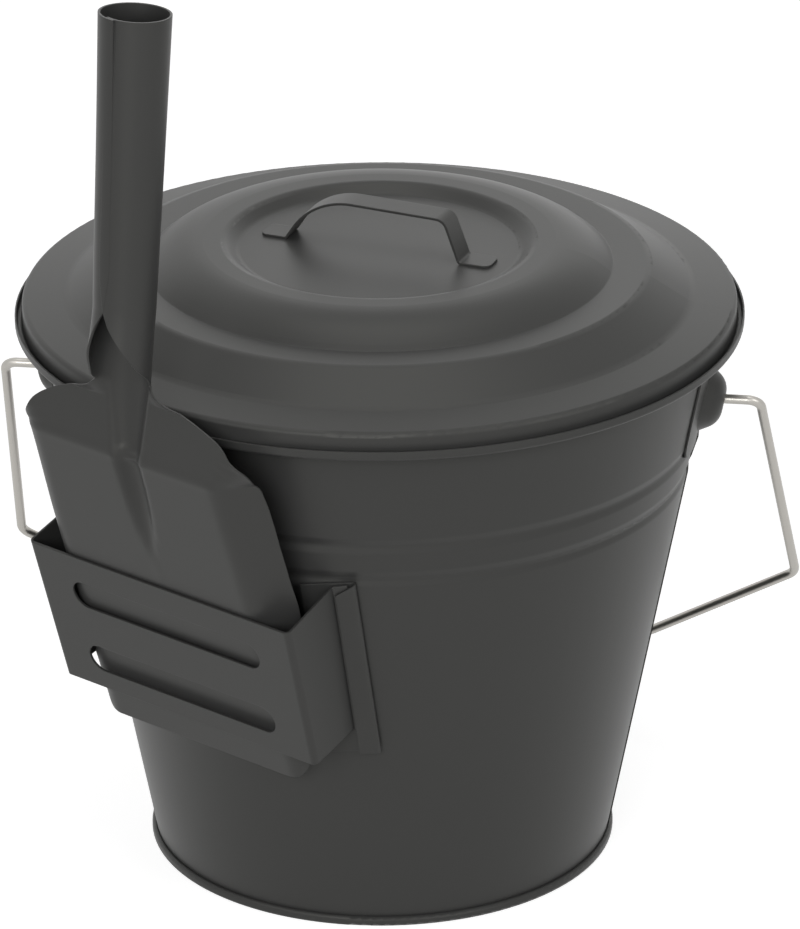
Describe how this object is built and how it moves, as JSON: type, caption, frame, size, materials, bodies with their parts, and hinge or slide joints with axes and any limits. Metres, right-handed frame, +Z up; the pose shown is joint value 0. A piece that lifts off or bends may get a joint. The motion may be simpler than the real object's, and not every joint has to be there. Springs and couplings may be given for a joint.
{
  "type": "ash bucket with shovel",
  "caption": "Tapered sheet-steel ash bucket with a domed lid, a wire bail and a hand shovel standing in a slotted holder on its wall.",
  "frame": {"origin": "middle of the bucket's base, on the floor", "axes": "+X through the right ear, +Y to the back where the bail rests, +Z up; the shovel holder faces the front left, 32.6 degrees from -Y towards the left ear"},
  "size_m": [0.3384, 0.3137, 0.4084],
  "materials": {
    "grey_coat": "matte charcoal powder coat",
    "zinc_wire": "bright zinc-plated wire"
  },
  "bodies": {
    "bucket": {"bucket_body": "grey_coat", "rim_wire": "zinc_wire", "bucket_bottom": "grey_coat", "right_ear": "grey_coat", "left_ear": "grey_coat", "right_rail": "grey_coat", "left_rail": "grey_coat"},
    "bail": {"bail": "zinc_wire"},
    "lid": {"lid": "grey_coat", "lid_handle": "grey_coat"},
    "holder": {"shovel_holder": "grey_coat"},
    "shovel": {"shovel": "grey_coat"}
  },
  "joints": [
    {"name": "bail_swing", "type": "hinge", "parent": "bucket", "child": "bail", "pos_m": [0, 0, 0.2036], "axis": [1, 0, 0], "range_deg": [0, 172]},
    {"name": "lid_lift", "type": "slide", "parent": "bucket", "child": "lid", "axis": [0.0843, 0.1318, 0.9877], "range_m": [0, 0.09]},
    {"name": "holder_slide", "type": "slide", "parent": "bucket", "child": "holder", "axis": [-0.1225, -0.1915, 0.9738], "range_m": [0, 0.055]},
    {"name": "shovel_draw", "type": "slide", "parent": "holder", "child": "shovel", "axis": [-0.1662, -0.2599, 0.9512], "range_m": [0, 0.09]}
  ]
}
